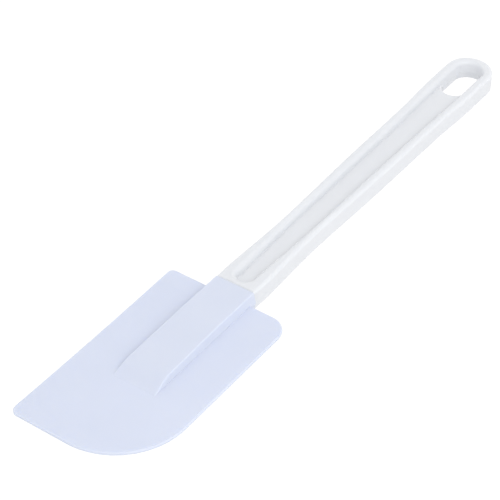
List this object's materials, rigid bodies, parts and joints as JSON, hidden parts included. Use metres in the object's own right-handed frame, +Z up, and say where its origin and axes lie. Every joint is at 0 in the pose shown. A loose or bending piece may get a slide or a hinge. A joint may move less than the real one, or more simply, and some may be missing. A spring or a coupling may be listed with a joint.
{
  "type": "bowl scraper",
  "caption": "Long-handled flexible scraper for bowls and benches: stiff channelled handle with a hang hole, and a soft blade with one large curved corner that pulls off a tang.",
  "frame": {"origin": "on the surface that the scraper lies on, on its centre line, at half its length", "axes": "+X along the scraper towards the hang hole, +Z up out of the flat faces, +Y across it towards the blade's long square-cornered edge"},
  "size_m": [0.35, 0.0694, 0.0112],
  "materials": {
    "handle_plastic": "white moulded plastic, soft gloss",
    "blade_rubber": "pale blue, slightly translucent, satin"
  },
  "bodies": {
    "grip": {"handle": "handle_plastic"},
    "scraping_blade": {"blade": "blade_rubber"}
  },
  "joints": [
    {"name": "blade_pull", "type": "slide", "parent": "grip", "child": "scraping_blade", "axis": [-1, 0, 0], "range_m": [0, 0.065]}
  ]
}
